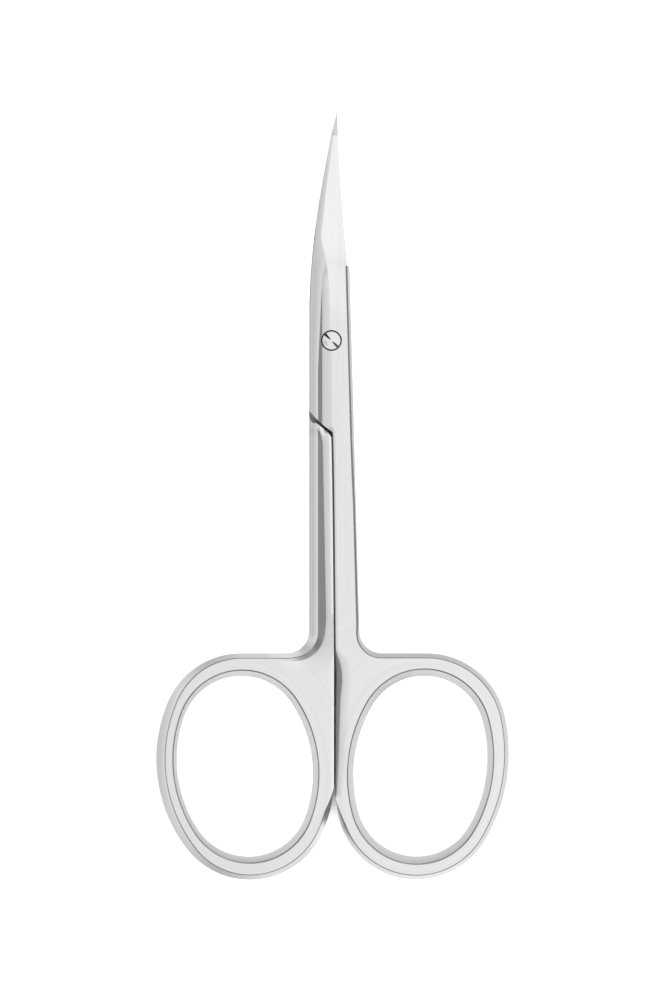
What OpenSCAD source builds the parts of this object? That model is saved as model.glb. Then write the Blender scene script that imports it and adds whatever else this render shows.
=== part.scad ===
// Cuticle scissors, closed and lying flat.
// +Z is up, +Y points to the blade tips and the origin is on the pivot axis, on the table.
// The near half carries the right ring and the far half the left ring. Each half is drawn
// with its own spine on the left and its own ring on the right, and the far half is then
// turned over about the length of the scissors.

/* [Thickness] */
// Thickness of the shanks, the rings and the closed joint
thickness = 3.4; // [2.8:0.1:4.2]
// Gap between the two lapped faces
lap_gap = 0.06; // [0.05:0.01:0.1]
// Gap between the two shanks when closed
seam_gap = 0.24; // [0.12:0.02:0.3]

/* [Joint] */
// Pivot axis to the left edge of the joint
left_side = 3.41; // [3:0.01:4.5]
// Pivot axis to the right edge of the joint
right_side = 2.95; // [2.7:0.01:4]
// Flare of the right edge, sideways per length
right_flare = 0.0272; // [0:0.0002:0.05]
// Pivot to the outer end of the lap shoulder
shoulder_outer = 10.4; // [8:0.1:12]
// Pivot to the inner end of the lap shoulder
shoulder_inner = 13.3; // [12.2:0.1:16]
// Gap at the inner end of the lap shoulder
shoulder_gap = 0.25; // [0.15:0.01:0.5]
// Gap at the outer end of the lap shoulder, where it is relieved
shoulder_relief = 1.4; // [0.8:0.1:2]
// How far the relief runs in from the outer edge
relief_run = 1.5; // [1:0.1:2]
// Seam's offset from the pivot axis at the shoulder
seam_top = 0.05; // [-0.2:0.01:0.3]
// Seam's offset from the pivot axis between the rings
seam_low = 0.53; // [0:0.01:0.8]
// Pivot to where the seam turns straight between the rings
seam_bend = 46; // [44:0.5:50]

/* [Blades] */
// Pivot to the tip
blade_reach = 33.3; // [30:0.1:38]
// Pivot to the heel of the cutting edge
heel = 10.9; // [9.5:0.1:12]
// Cutting edge's offset from the pivot axis at the heel
heel_side = 2.35; // [2.1:0.01:2.5]
// Cutting edge's offset from the pivot axis at the tip
tip_side = 0.9; // [0.8:0.01:1.1]
// Hollow of the cutting edge between heel and tip
edge_bow = 0.2; // [0:0.01:0.3]
// Pivot to where the spine starts to curve
spine_start = 4; // [3.5:0.1:6]
// Pivot to where the spine runs straight to the tip
spine_end = 22; // [18:0.5:26]
// Radius of the spine's curve
spine_radius = 94.7; // [90:0.1:110]
// Far blade's outline kept inside the near blade's
blade_inset = 0.1; // [0.05:0.01:0.12]
// Length along which the spine closes in on the tip
tip_run = 1.8; // [1.5:0.1:2]
// Width of the near blade at its tip
tip_width = 0.1; // [0.08:0.01:0.15]
// Far blade's tip short of the near one's
far_short = 1; // [1:0.1:1.5]
// Pivot to where the blades start to curve upward
rise_start = 5; // [4:0.5:8]
// Radius of the upward curve of the blades
rise_radius = 115; // [90:5:300]
// Blade's thickness at the tip
tip_thickness = 0.45; // [0.3:0.05:0.8]
// Wall of the spine at the tip
tip_wall = 0.22; // [0.15:0.01:0.28]
// Flat left on the cutting edge
edge_flat = 0.05; // [0.03:0.01:0.1]
// Width of the ground facet at the heel
facet_width = 3.2; // [2.6:0.1:3.4]
// Ground facet's narrowing towards the tip, per length
facet_taper = 0.19; // [0.15:0.002:0.22]
// Ricasso face's edge beside the ridge, from the cutting edge, at the heel
ridge_at_heel = 3.1; // [2.8:0.05:3.4]

/* [Bevels] */
// Width of the wide outer bevel
wide_width = 1.4; // [1:0.05:1.5]
// Drop of the wide bevel at the silhouette
wide_drop = 0.95; // [0.7:0.01:1.1]
// Drop of the wide bevel at its inner line
band_drop = 0.4; // [0.2:0.01:0.5]
// Width of the steep band beside the joint
band_joint = 0.6; // [0.3:0.05:0.8]
// Width of the steep band low on the shank
band_shank = 0.85; // [0.4:0.05:1]
// Width of the steep band round the ring
band_ring = 0.12; // [0.08:0.01:0.3]
// Width of the narrow outer bevel on the shank
narrow_width = 0.4; // [0.2:0.05:0.6]
// Drop of the narrow outer bevel
narrow_drop = 0.3; // [0.15:0.05:0.5]
// Width of the narrow outer bevel round the ring
narrow_ring = 0.6; // [0.3:0.05:0.8]
// Width of the bevel round each finger opening
finger_width = 0.55; // [0.3:0.05:0.8]
// Drop of the bevel round each finger opening
finger_drop = 0.55; // [0.3:0.05:0.8]

/* [Rings] */
// Pivot to the middle of the rings
ring_y = 62.09; // [61.8:0.01:62.5]
// Seam to the middle of the finger openings, across
ring_x = 12.8; // [12.7:0.01:13]
// Half length of the finger openings
open_long = 13.21; // [12.5:0.01:13.3]
// Radius of the openings' round ends
open_end = 8.8; // [8:0.01:9.1]
// Steel beyond the openings at the ends of the rings
end_band = 3.34; // [3.1:0.01:3.6]
// Radius of the rims' round ends beyond that of the openings
end_growth = 2.83; // [2.5:0.01:3]

/* [Right ring] */
// This opening's centre outward of the common place
right_out = -0.31; // [-0.4:0.01:-0.2]
// Half width of the opening
right_wide = 9.68; // [9.4:0.01:9.8]
// Steel beyond the opening at the sides of the ring
right_band = 2.89; // [2.8:0.01:3.2]
// Rim's centre outward of the opening's
right_shift = 0.18; // [0.1:0.01:0.2]
// Tilt of the opening, top outward
right_tilt = 7.2; // [5:0.1:9]
// Tilt of the rim, top outward
right_rim_tilt = 9; // [6:0.1:10]

/* [Left ring] */
// This opening's centre outward of the common place
left_out = 0.32; // [0.2:0.01:0.5]
// Half width of the opening
left_wide = 9.85; // [9.4:0.01:9.95]
// Steel beyond the opening at the sides of the ring
left_band = 3.11; // [3:0.01:3.4]
// Rim's centre outward of the opening's
left_shift = -0.09; // [-0.15:0.01:0]
// Tilt of the opening, top outward
left_tilt = 6.9; // [5:0.1:9]
// Tilt of the rim, top outward
left_rim_tilt = 7.3; // [6:0.1:10]

/* [Shank to ring] */
// Radius of the corner between shank and ring
fillet_radius = 3.2; // [2.5:0.1:4]

/* [Pivot screw] */
// Diameter of the slotted head
head_d = 2.8; // [2.4:0.05:3.2]
// Height of the head
head_h = 0.72; // [0.5:0.01:0.8]
// Chamfer on the head's rim
head_chamfer = 0.12; // [0.05:0.01:0.2]
// Head's top below the joint's face
head_recess = 0.03; // [0:0.01:0.1]
// Width of the driver slot
slot_w = 0.35; // [0.25:0.05:0.5]
// Depth of the driver slot
slot_depth = 0.35; // [0.2:0.05:0.45]
// Direction of the driver slot
slot_angle = -45; // [-90:5:90]
// Diameter of the smooth bearing under the head
bearing_d = 1.9; // [1.6:0.05:2.1]
// Diameter of the threaded end
thread_d = 1.4; // [1:0.05:1.5]
// Threaded end's recess from the back face
thread_recess = 0.1; // [0.05:0.01:0.3]
// Radial clearance of the near half on the bearing
bearing_gap = 0.05; // [0.02:0.01:0.1]
// Radial clearance of the head in its counterbore
head_gap = 0.1; // [0.05:0.01:0.2]
// Clearance under the head
seat_gap = 0.03; // [0.01:0.01:0.06]

/* [Hidden] */
// Facets of the true cylinders
$fn = 64;
// Length of the arcs' chords
chord = 1.8;
// Segments of the corner between shank and ring
corner_steps = 6;
// Overshoot of the cutting bodies
over = 1;

// Height of the lapped face in each half's own frame, and a half's thickness above it
lap_z = (thickness + lap_gap) / 2;
lap_h = thickness - lap_z;
// Where the plate of joint and shank ends and the blade begins
blade_root = 3;
// Length along which the bevels grow in where the rings part, and their share at its start
fade_run = 9;
fade_start = 0.15;
// Length along which the steep band grows in and out on the shank
band_run = 5;
// Length along which a blade's section changes above its heel
blend_run = 3;
// Half the length of the step at the heel
heel_step = 0.15;

// Opening and rim of a ring, each as centre, half length, half width, end radius and tilt
function opening(x, wide, tilt) = [x, -ring_y, open_long, wide, open_end, tilt];
function rim(x, wide, tilt) = [x, -ring_y, open_long + end_band, wide, open_end + end_growth, tilt];

right_x = ring_x + seam_low + right_out;
left_x = ring_x - seam_low + left_out;

// What is different between the halves: spine side and its flare, ring side and its flare,
// seam's sign, upward curve's sign, opening and rim
near_half = [
    left_side, 0, right_side, right_flare, 1, 1,
    opening(right_x, right_wide, right_tilt),
    rim(right_x + right_shift, right_wide + right_band, right_rim_tilt)
];
far_half = [
    right_side, right_flare, left_side, 0, -1, -1,
    opening(left_x, left_wide, left_tilt),
    rim(left_x + left_shift, left_wide + left_band, left_rim_tilt)
];

function mix(a, b, t) = a + (b - a) * min(1, max(0, t));
function turn(p, angle) = [p.x * cos(angle) - p.y * sin(angle), p.x * sin(angle) + p.y * cos(angle)];

// Straight edges of a half, in its own frame
function spine_side(half, y) = -half[0] + half[1] * y;
function ring_side(half, y) = half[2] - half[3] * y;
function seam(y) = mix(seam_top, seam_low, (-y - shoulder_inner) / (seam_bend - shoulder_inner));
function seam_side(half, y) = half[4] * seam(y) + seam_gap / 2;

// Near blade's two outlines
function spine_curve(y) = spine_radius - sqrt(pow(spine_radius, 2) - pow(y - spine_start, 2));
spine_slope = (spine_end - spine_start) / sqrt(pow(spine_radius, 2) - pow(spine_end - spine_start, 2));
function near_edge(y) =
    let (u = (y - heel) / (blade_reach - heel))
    mix(heel_side, tip_side, u) - 4 * edge_bow * u * (1 - u);
function near_spine(y) =
    y < spine_start ? -left_side :
    y < spine_end ? -left_side + spine_curve(y) :
    mix(
        -left_side + spine_curve(spine_end) + spine_slope * (y - spine_end),
        near_edge(y) - tip_width,
        (y - blade_reach + tip_run) / tip_run
    );

// Outlines of either blade: the far one is the near one turned over and drawn in
function blade_spine(half, y) =
    half[5] > 0 ? near_spine(y) :
    mix(spine_side(half, y), blade_inset - near_edge(y), (y - heel + blend_run) / blend_run);
function ground_edge(half, y) = half[5] > 0 ? near_edge(y) : -near_spine(y) - blade_inset;
function blade_edge(half, y) =
    y > heel ? ground_edge(half, y) :
    half[5] > 0 ? ring_side(half, y) :
    -near_spine(y);

// Height of the lapped faces: flat at the joint, then one arc turned about the pivot axis
function rise(r) = r < rise_start ? 0 : rise_radius - sqrt(pow(rise_radius, 2) - pow(r - rise_start, 2));

// One section of a blade, as places across and heights above the lapped face
function ricasso_section(half, y) =
    let (
        left = blade_spine(half, y),
        right = blade_edge(half, y),
        root = spine_side(half, y) + wide_width,
        ridge = ground_edge(half, heel) - ridge_at_heel
    )
    [
        [left, 0],
        [left, lap_h - wide_drop],
        [root, lap_h - band_drop],
        [mix(root + band_joint, ridge, (y - blade_root) / (heel - blade_root)), lap_h],
        [right - narrow_width, lap_h],
        [right, lap_h - narrow_drop],
        [right, 0]
    ];
function ground_section(half, y) =
    let (
        left = blade_spine(half, y),
        right = blade_edge(half, y),
        u = (y - heel) / (blade_reach - heel),
        v = (y - heel) / blend_run,
        ridge_h = mix(lap_h, tip_thickness, u),
        wall_h = mix(lap_h - wide_drop, tip_wall, u),
        facet = max(min(facet_width, (blade_reach - y) * facet_taper), (right - left) / 4),
        ridge = mix(right - ridge_at_heel, right - min(facet, 0.7 * (right - left)), v)
    )
    [
        [left, 0],
        [left, wall_h],
        [mix(spine_side(half, y) + wide_width, (left + ridge) / 2, v),
            mix(lap_h - band_drop, mix(wall_h, ridge_h, 0.65), v)],
        [ridge, ridge_h],
        [mix(ridge, right, 0.75), mix(ridge_h, edge_flat, 0.75)],
        [right, edge_flat],
        [right, 0]
    ];
function lifted(half, y, p) = [p.x, y, lap_z + half[5] * rise(norm([p.x, y])) + p.y];

// Closed body through rings of points of one length, with flat ends
module loft(rings) {
    n = len(rings[0]);
    last = len(rings) - 1;
    sides = [
        for (i = [0:last - 1], j = [0:n - 1])
            let (a = i * n + j, b = i * n + (j + 1) % n)
            each [[a, b + n, b], [a, a + n, b + n]]
    ];
    first_cap = [for (j = [0:n - 1]) j];
    last_cap = [for (j = [n - 1:-1:0]) last * n + j];
    polyhedron(points = [for (r = rings) each r], faces = concat([first_cap], sides, [last_cap]));
}

module blade(half) {
    ricasso = [for (y = [blade_root, rise_start, rise_start + 2, rise_start + 4, heel - heel_step])
        [for (p = ricasso_section(half, y)) lifted(half, y, p)]];
    tip = blade_reach - (half[5] > 0 ? 0 : far_short);
    steps = 9;
    ground = [for (y = [for (k = [0:steps]) mix(heel + heel_step, tip - tip_run, k / steps), tip])
        [for (p = ground_section(half, y)) lifted(half, y, p)]];
    loft(concat(ricasso, ground));
}

// Four-arc ovals: [x, y, half length, half width, end radius, tilt]. An arc is a list of
// points, each with the direction towards the arc's centre.
function flank_radius(o) = (pow(o[2] - o[4], 2) + pow(o[3], 2) - pow(o[4], 2)) / (2 * (o[3] - o[4]));
function flank_angle(o) = atan2(o[2] - o[4], flank_radius(o) - o[3]);
function arc(o, centre, radius, from, to) =
    let (n = max(2, ceil((to - from) / 360 * 2 * PI * radius / chord)))
    [
        for (k = [0:n - 1])
            let (a = mix(from, to, k / n) - o[5], out = [cos(a), sin(a)])
            [[o[0], o[1]] + turn(centre, -o[5]) + radius * out, -out]
    ];
function flank_right(o, from, to) = arc(o, [o[3] - flank_radius(o), 0], flank_radius(o), from, to);
function flank_left(o, from, to) = arc(o, [flank_radius(o) - o[3], 0], flank_radius(o), from, to);
function top_end(o, from, to) = arc(o, [0, o[2] - o[4]], o[4], from, to);
function low_end(o, from, to) = arc(o, [0, o[4] - o[2]], o[4], from, to);
function oval(o) =
    let (a = flank_angle(o))
    concat(
        flank_right(o, -a, a),
        top_end(o, a, 180 - a),
        flank_left(o, 180 - a, 180 + a),
        low_end(o, 180 + a, 360 - a)
    );

// Edge that carries the outer bevels, from the parting of the rings round the rim and the
// corner and up the shank to end_y: points, each with the direction into the steel
function parting_angle(half) =
    let (o = half[7], c = o[0] + (flank_radius(o) - o[3]) * cos(o[5]))
    180 + o[5] + acos(min(1, (c - seam_side(half, -seam_bend)) / flank_radius(o)));
function rim_top(half) = let (o = half[7]) o[1] + (o[2] - o[4]) * cos(o[5]) + o[4];
function corner_y(half) = rim_top(half) + fillet_radius;
function rim_path(half, end_y) =
    let (
        o = half[7],
        a = flank_angle(o),
        y = corner_y(half),
        centre = [ring_side(half, y) + fillet_radius, y]
    )
    concat(
        flank_left(o, parting_angle(half), 180 + a),
        low_end(o, 180 + a, 360 - a),
        flank_right(o, -a, a),
        top_end(o, a, 90 + o[5]),
        [[[o[0] + (o[2] - o[4]) * sin(o[5]), rim_top(half)], [0, -1]]],
        [
            for (k = [0:corner_steps])
                let (t = -90 - 90 * k / corner_steps, in = [cos(t), sin(t)])
                [centre + fillet_radius * in, in]
        ],
        [
            for (y = [y + band_run, -shoulder_inner - band_run, -shoulder_inner, end_y])
                [[ring_side(half, y), y], [-1, 0]]
        ]
    );

// Outline of joint, shank and ring in one piece
function plate_outline(half) = concat(
    [for (y = [blade_root, -shoulder_outer]) [spine_side(half, y), y]],
    [for (y = [-shoulder_inner, -seam_bend]) [seam_side(half, y), y]],
    [for (p = rim_path(half, blade_root)) p[0]]
);

// Bevels are swept along an edge and taken off. A profile lists the distance in from the edge
// and the drop below the face, and share scales it.
function wide_profile(band, share) = [
    [-wide_width * share, -over],
    [-wide_width * share, (2 * wide_drop - band_drop) * share],
    [wide_width * share, band_drop * share],
    [(wide_width + band) * share, 0],
    [(wide_width + band) * share, -over]
];
function narrow_profile(width, share) = [
    [-width * share, -over],
    [-width * share, 2 * narrow_drop * share],
    [width * share, 0],
    [width * share, -over]
];
function placed(point, profile, face, up) = [
    for (q = profile)
        let (p = point[0] + point[1] * q.x)
        [p.x, p.y, face - up * q.y]
];
// Outer bevels begin a little past the parting of the rings, clear of its corner
function bevel_path(half) =
    let (path = rim_path(half, blade_root + over))
    concat(
        [[(path[0][0] + path[1][0]) / 2, path[0][1]]],
        [for (i = [1:len(path) - 1]) path[i]]
    );
function share(path, i) = mix(fade_start, 1, norm(path[i][0] - path[0][0]) / fade_run);
function low_band(half, y) =
    let (low = corner_y(half), high = -shoulder_inner)
    let (full = mix(band_shank, band_joint, (y - low) / (high - low)))
    mix(band_ring, full, min(y - low, high - y) / band_run);

module narrow_bevel(half) {
    path = bevel_path(half);
    loft([
        for (i = [0:len(path) - 1])
            let (width = path[i][0].y < corner_y(half) ? narrow_ring : narrow_width)
            placed(path[i], narrow_profile(width, share(path, i)), thickness, 1)
    ]);
}

module wide_bevel(half) {
    path = bevel_path(half);
    loft([
        for (i = [len(path) - 1:-1:0])
            placed(path[i], wide_profile(low_band(half, path[i][0].y), share(path, i)), 0, -1)
    ]);
}

module spine_bevel(half) {
    loft([
        for (y = [blade_root + over, -shoulder_inner - over])
            placed([[spine_side(half, y), y], [1, 0]], wide_profile(band_joint, 1), thickness, 1)
    ]);
}

module finger_opening(half) {
    edge = oval(half[6]);
    levels = [
        [-finger_drop, 2 * finger_width],
        [finger_drop, 0],
        [thickness - finger_drop, 0],
        [thickness + finger_drop, 2 * finger_width]
    ];
    loft([
        for (level = levels)
            [for (p = edge) let (q = p[0] - p[1] * level[1]) [q.x, q.y, level[0]]]
    ]);
}

// Space under the lap, above the relieved shoulder of the ring's shank
module lap_space(half) {
    far = ring_side(half, -shoulder_outer);
    near = seam_side(half, -shoulder_inner);
    relief_x = far - relief_run;
    diagonal = mix(-shoulder_inner, -shoulder_outer, (relief_x - near) / (far - near));
    translate([0, 0, -over])
        linear_extrude(lap_z + over)
            polygon([
                [far + over, -shoulder_outer - shoulder_relief],
                [far, -shoulder_outer - shoulder_relief],
                [relief_x, diagonal - 2 * shoulder_gap],
                [near, -shoulder_inner - shoulder_gap],
                [-far - over, -shoulder_inner - shoulder_gap],
                [-far - over, blade_root + over],
                [far + over, blade_root + over]
            ]);
}

module half_blank(half) {
    difference() {
        linear_extrude(thickness) polygon(plate_outline(half));
        narrow_bevel(half);
        wide_bevel(half);
        spine_bevel(half);
        finger_opening(half);
        lap_space(half);
    }
    blade(half);
}

// Near half: screw head side, left blade when open, right ring
module front_half() {
    color("gainsboro")
        difference() {
            half_blank(near_half);
            cylinder(d = bearing_d + 2 * bearing_gap, h = thickness + over);
            translate([0, 0, thickness - head_recess - head_h - seat_gap])
                cylinder(d = head_d + 2 * head_gap, h = thickness);
        }
}

// Far half: takes the screw's thread, right blade when open, left ring
module back_half() {
    color("silver")
        difference() {
            translate([0, 0, thickness]) rotate([0, 180, 0]) half_blank(far_half);
            translate([0, 0, -over]) cylinder(d = thread_d, h = thickness + over);
        }
}

// Shouldered pivot screw: slotted head, smooth bearing, threaded end drawn plain
module pivot_screw() {
    seat = thickness - lap_z;
    top = thickness - head_recess;
    color("lightgrey")
        difference() {
            union() {
                translate([0, 0, thread_recess])
                    cylinder(d = thread_d, h = seat - thread_recess + head_chamfer);
                translate([0, 0, seat])
                    cylinder(d = bearing_d, h = top - head_h - seat + head_chamfer);
                translate([0, 0, top - head_h]) cylinder(d = head_d, h = head_h - head_chamfer);
                translate([0, 0, top - head_chamfer])
                    cylinder(d1 = head_d, d2 = head_d - 2 * head_chamfer, h = head_chamfer);
            }
            rotate([0, 0, slot_angle])
                translate([-head_d, -slot_w / 2, top - slot_depth])
                    cube([2 * head_d, slot_w, slot_depth + over]);
        }
}

front_half();
back_half();
pivot_screw();
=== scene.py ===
"""Cuticle scissors: dresses the packed halves and the pivot screw, and sets up their studio."""

import math
from types import SimpleNamespace

import bpy
import numpy as np
from bpy.props import FloatProperty, FloatVectorProperty, PointerProperty
from mathutils.geometry import delaunay_2d_cdt
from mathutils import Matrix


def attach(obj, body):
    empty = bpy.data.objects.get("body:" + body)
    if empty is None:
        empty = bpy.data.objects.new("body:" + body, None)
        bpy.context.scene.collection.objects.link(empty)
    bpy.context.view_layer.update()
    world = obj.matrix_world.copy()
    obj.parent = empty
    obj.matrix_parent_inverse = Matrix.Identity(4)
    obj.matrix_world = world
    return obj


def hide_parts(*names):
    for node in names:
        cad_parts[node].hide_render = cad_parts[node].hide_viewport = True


bl_info = {
    "name": "Cuticle scissors",
    "version": (1, 0, 0),
    "blender": (4, 5, 0),
    "location": "View3D > Sidebar > Scissors",
    "description": "Builds polished cuticle scissors and a plain pale studio around them",
    "category": "Object",
}

MM = 0.001
# Spacing of the points along curved edges and along straight ones, in millimetres
FINE = 0.45
COARSE = 0.9
# Where the plate of joint and shank ends and the blade begins
BLADE_ROOT = 3.0
# Walls that turn by more than this at a corner stay crisp
WALL_CREASE = math.cos(math.radians(35))
# How far inside its triangle a corner's slope is taken, and over what distance
NUDGE = 0.01
SLOPE_STEP = 0.002
# Corners nearer than this become one
WELD = 1e-4
# Half the width of the narrow strip that is cut where a face breaks off sharply
BREAK = 0.02
# Stands for a distance from an edge that is nowhere near
FAR = 99.0
# Least height that is left between an outer face and the lapped one
THINNEST = 0.03
# Place along the outer edge, beyond the corner, that stands for the whole ring
RING_STATION = 20.0
# Length along which the outer bevels grow from where the rings part
BEVEL_GROWTH = 4.0
# Between which distances from there the outer bevels ease from steep to their own slope
TUCK_RUN = (3.5, 9)
# Length along which the back half's spine turns from the joint's edge into the blade's
SPINE_TURN = 3.0
# Slant of the line that the ground facet starts at, where it starts and how high it gets
HEEL_SLANT = 0.15
HEEL_SLANT_START = 2.2
HEEL_SLANT_RISE = 0.5
# Crown's inner line along the joint: places along, and offsets from the pivot
RIDGE_LINE = ((-14, -2, 8, 11, 12.3, 13.9), (0.3, 0.15, -0.25, -0.65, -0.89, -1.25))
# Between which places along that line goes over into the ground facet's ridge
RIDGE_TURN = (13.2, 14.6)
# Between which places along the joint's slopes go over into the blade's
SLOPE_TURN = (9, 12)
# Slopes of crown and rounding at their lines in degrees, from the ridge out
JOINT_CROWN = (0, 3, 5, 5.5, 11)
BLADE_CROWN = (16.5, 17, 18.5, 18.5, 19.5)
SHANK_CROWN = (0, 5.5, 12)
# Where the wide bevel's facets start, as shares of its width, and their slopes in degrees
FACET_STARTS = (1, 0.8, 0.55, 0.42)
SHANK_FACETS = (17.5, 20.5, 24, 22.5)
RING_FACETS = (17.5, 19.5, 20.2, 20.2)
BLADE_FACETS = (19.5, 21, 22, 22.5)
# Between which places along the rim beside the heel comes up and fades
RIM_START = (3, 6)
RIM_END = (15, 18)
# Between which distances below the pivot the light strip narrows
STRIP_RUN = (14, 24)
# Other slopes in degrees: strip where the rings part, finger bevel, small edges, seam's rim
TUCKED_STRIP = 36
FINGER_SLOPES = (42.5, 44)
SOFT_SLOPE = 41
PAINTED_RIM_SLOPE = 30
# Fine line round a finger opening, in widths of the line round the ring
FINGER_LINE = 1.4
# Rolled edge beside the seam: places along and widths, and the width it is full grown at
SEAM_ROLL = ((-67, -61, -52.4, -49.5, -47.5, -45), (0.12, 0.4, 0.66, 0.95, 0.8, 0))
SEAM_ROLL_FULL = 0.4
# Inner corner of the pocket that the lap's shoulder leaves
POCKET = (1.94, -12.2)
# Painted shade: how dark the rolled edge is painted, and the lap's pocket at its inner and outer end
ROLL_PAINTED_SHADE = 0.6
POCKET_PAINTED_SHADE = (0.82, 0.35)
# Chamfer on the threaded end of the screw
THREAD_CHAMFER = 0.15
# Size of the soft lamp and its height over the floor, in metres
LAMP_SIZE = 3.0
LAMP_HEIGHT = 1.6
# Brightest tone of the light tent; its ramp across holds shares of it
TENT_TOP = 1.6
# Tones of the tent by direction: from left (-1) to right (1), away from the middle line
# along the scissors, and down from overhead in degrees
TENT_ACROSS = (
    (-1, 1.0), (-0.976, 1.0), (-0.928, 1.6), (-0.9, 1.2), (-0.84, 0.65), (-0.744, 0.6),
    (-0.695, 0.64), (-0.656, 0.71), (-0.56, 0.86), (-0.46, 0.8), (-0.31, 0.62), (-0.2, 0.72),
    (-0.125, 0.77), (-0.06, 0.86), (-0.01, 0.945), (0.04, 0.955), (0.09, 1.06), (1, 1.06),
)
TENT_ALONG = ((0, 1.0), (0.3, 1.0), (0.5, 0.83), (0.75, 0.83), (0.92, 1.0), (1, 1.0))
TENT_DOWN = (
    (0, 1.0), (58, 1.0), (63.5, 0.2), (68, 0.17), (76, 0.17), (80, 0.7), (84, 0.8), (90, 0.8),
)
# Between which angles from overhead the tent's sides even out
TENT_EVEN = (74, 78)

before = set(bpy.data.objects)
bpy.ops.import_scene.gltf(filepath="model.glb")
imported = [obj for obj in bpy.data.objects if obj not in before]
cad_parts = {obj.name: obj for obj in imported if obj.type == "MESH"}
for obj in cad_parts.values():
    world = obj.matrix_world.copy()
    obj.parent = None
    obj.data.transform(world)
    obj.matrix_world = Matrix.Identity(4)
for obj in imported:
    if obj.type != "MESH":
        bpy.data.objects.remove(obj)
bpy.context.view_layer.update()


def length(name, description, millimetres):
    """A size that the user can change, kept in metres."""
    return FloatProperty(
        name=name, description=description, default=millimetres * MM, unit="LENGTH", precision=6
    )


def tilt(name, description, degrees):
    """An angle that the user can change."""
    return FloatProperty(
        name=name,
        description=description,
        default=math.radians(degrees),
        subtype="ANGLE",
        unit="ROTATION",
    )


def amount(name, description, value, high=1.0):
    """A plain number that the user can change."""
    return FloatProperty(name=name, description=description, default=value, min=0, max=high)


def colour(name, description, value):
    """A colour that the user can change."""
    return FloatVectorProperty(
        name=name, description=description, default=value, size=3, min=0, max=1, subtype="COLOR"
    )


class SCISSORS_PG_shape(bpy.types.PropertyGroup):
    """Sizes of both halves."""

    thickness: length("Thickness", "Thickness of shanks, rings and joint", 3.4)
    lap_gap: length("Lap gap", "Gap between the two lapped faces", 0.06)
    seam_gap: length("Seam gap", "Gap between the two shanks", 0.16)
    left_side: length("Left side", "Pivot to the left edge of the joint", 3.27)
    right_side: length("Right side", "Pivot to the right edge of the joint", 2.95)
    right_flare: amount("Right flare", "Flare of the right edge, sideways per length", 0.0272)
    shoulder_outer: length("Shoulder, outer end", "Pivot to the shoulder's outer end", 10.15)
    shoulder_inner: length("Shoulder, inner end", "Pivot to the shoulder's inner end", 13.3)
    shoulder_bow: length("Shoulder bow", "How far the shoulder's line bows outward", 0.2)
    seam_top: length("Seam, top", "Seam's offset at the shoulder", 0.05)
    seam_low: length("Seam, low", "Seam's offset between the rings", 0.5)
    seam_bend: length("Seam bend", "Pivot to where the seam turns straight", 46)
    seam_curve: amount("Seam curve", "How early the seam moves over, 1 for evenly", 0.55)
    blade_reach: length("Blade reach", "Pivot to the tip", 33.3)
    heel: length("Heel", "Pivot to the heel of the cutting edge", 10.9)
    heel_side: length("Edge at the heel", "Cutting edge's offset at the heel", 2.35)
    tip_side: length("Edge at the tip", "Cutting edge's offset at the tip", 0.86)
    edge_bow: length("Edge bow", "Hollow of the cutting edge", 0.2)
    spine_start: length("Spine start", "Pivot to where the spine starts to curve", 2)
    spine_end: length("Spine end", "Pivot to where the spine turns straight", 22.5)
    spine_radius: length("Spine radius", "Radius of the spine's curve", 115)
    blade_inset: length("Blade inset", "Back blade's outline inside the front one's", 0.1)
    tip_run: length("Tip run", "Length along which the spine closes in on the tip", 3.5)
    tip_width: length("Tip width", "Width of the front blade at its tip", 0.1)
    far_short: length("Back tip", "Back blade's tip short of the front one's", 1)
    rise_start: length("Rise start", "Pivot to where the blades start to curve up", 5)
    rise_radius: length("Rise radius", "Radius of the blades' upward curve", 115)
    tip_thickness: length("Tip thickness", "Thickness of a blade at its tip", 0.45)
    edge_flat: length("Edge flat", "Flat left on the cutting edge", 0.05)
    facet_width: length("Facet width", "Width of the ground facet at the heel", 3.45)
    facet_taper: amount("Facet taper", "Facet's narrowing towards the tip, per length", 0.19)
    fillet: length("Corner", "Radius of the corner between shank and ring", 3.2)
    ring_y: length("Rings", "Pivot to the middle of the rings", 62.09)
    ring_x: length("Openings", "Seam to the middle of the openings", 12.8)
    open_long: length("Opening, half length", "Half length of the finger openings", 13.21)
    open_end: length("Opening, end radius", "Radius of the openings' ends", 8.8)
    end_band: length("Ring, ends", "Steel beyond the openings at the ends", 3.34)
    end_growth: length("Rim, end growth", "Rim's end radius beyond the opening's", 2.83)
    right_out: length("Right opening", "Right opening outward of the common place", -0.31)
    right_wide: length("Right opening, half width", "Half width of the right opening", 9.68)
    right_band: length("Right ring, sides", "Steel at the sides of the right ring", 2.89)
    right_shift: length("Right rim shift", "Right rim's centre outward of the opening's", 0.18)
    right_tilt: tilt("Right opening tilt", "Tilt of the right opening", 7.2)
    right_rim_tilt: tilt("Right rim tilt", "Tilt of the right rim", 9)
    left_out: length("Left opening", "Left opening outward of the common place", 0.32)
    left_wide: length("Left opening, half width", "Half width of the left opening", 9.85)
    left_band: length("Left ring, sides", "Steel at the sides of the left ring", 3.11)
    left_shift: length("Left rim shift", "Left rim's centre outward of the opening's", -0.09)
    left_tilt: tilt("Left opening tilt", "Tilt of the left opening", 6.9)
    left_rim_tilt: tilt("Left rim tilt", "Tilt of the left rim", 7.3)


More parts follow.
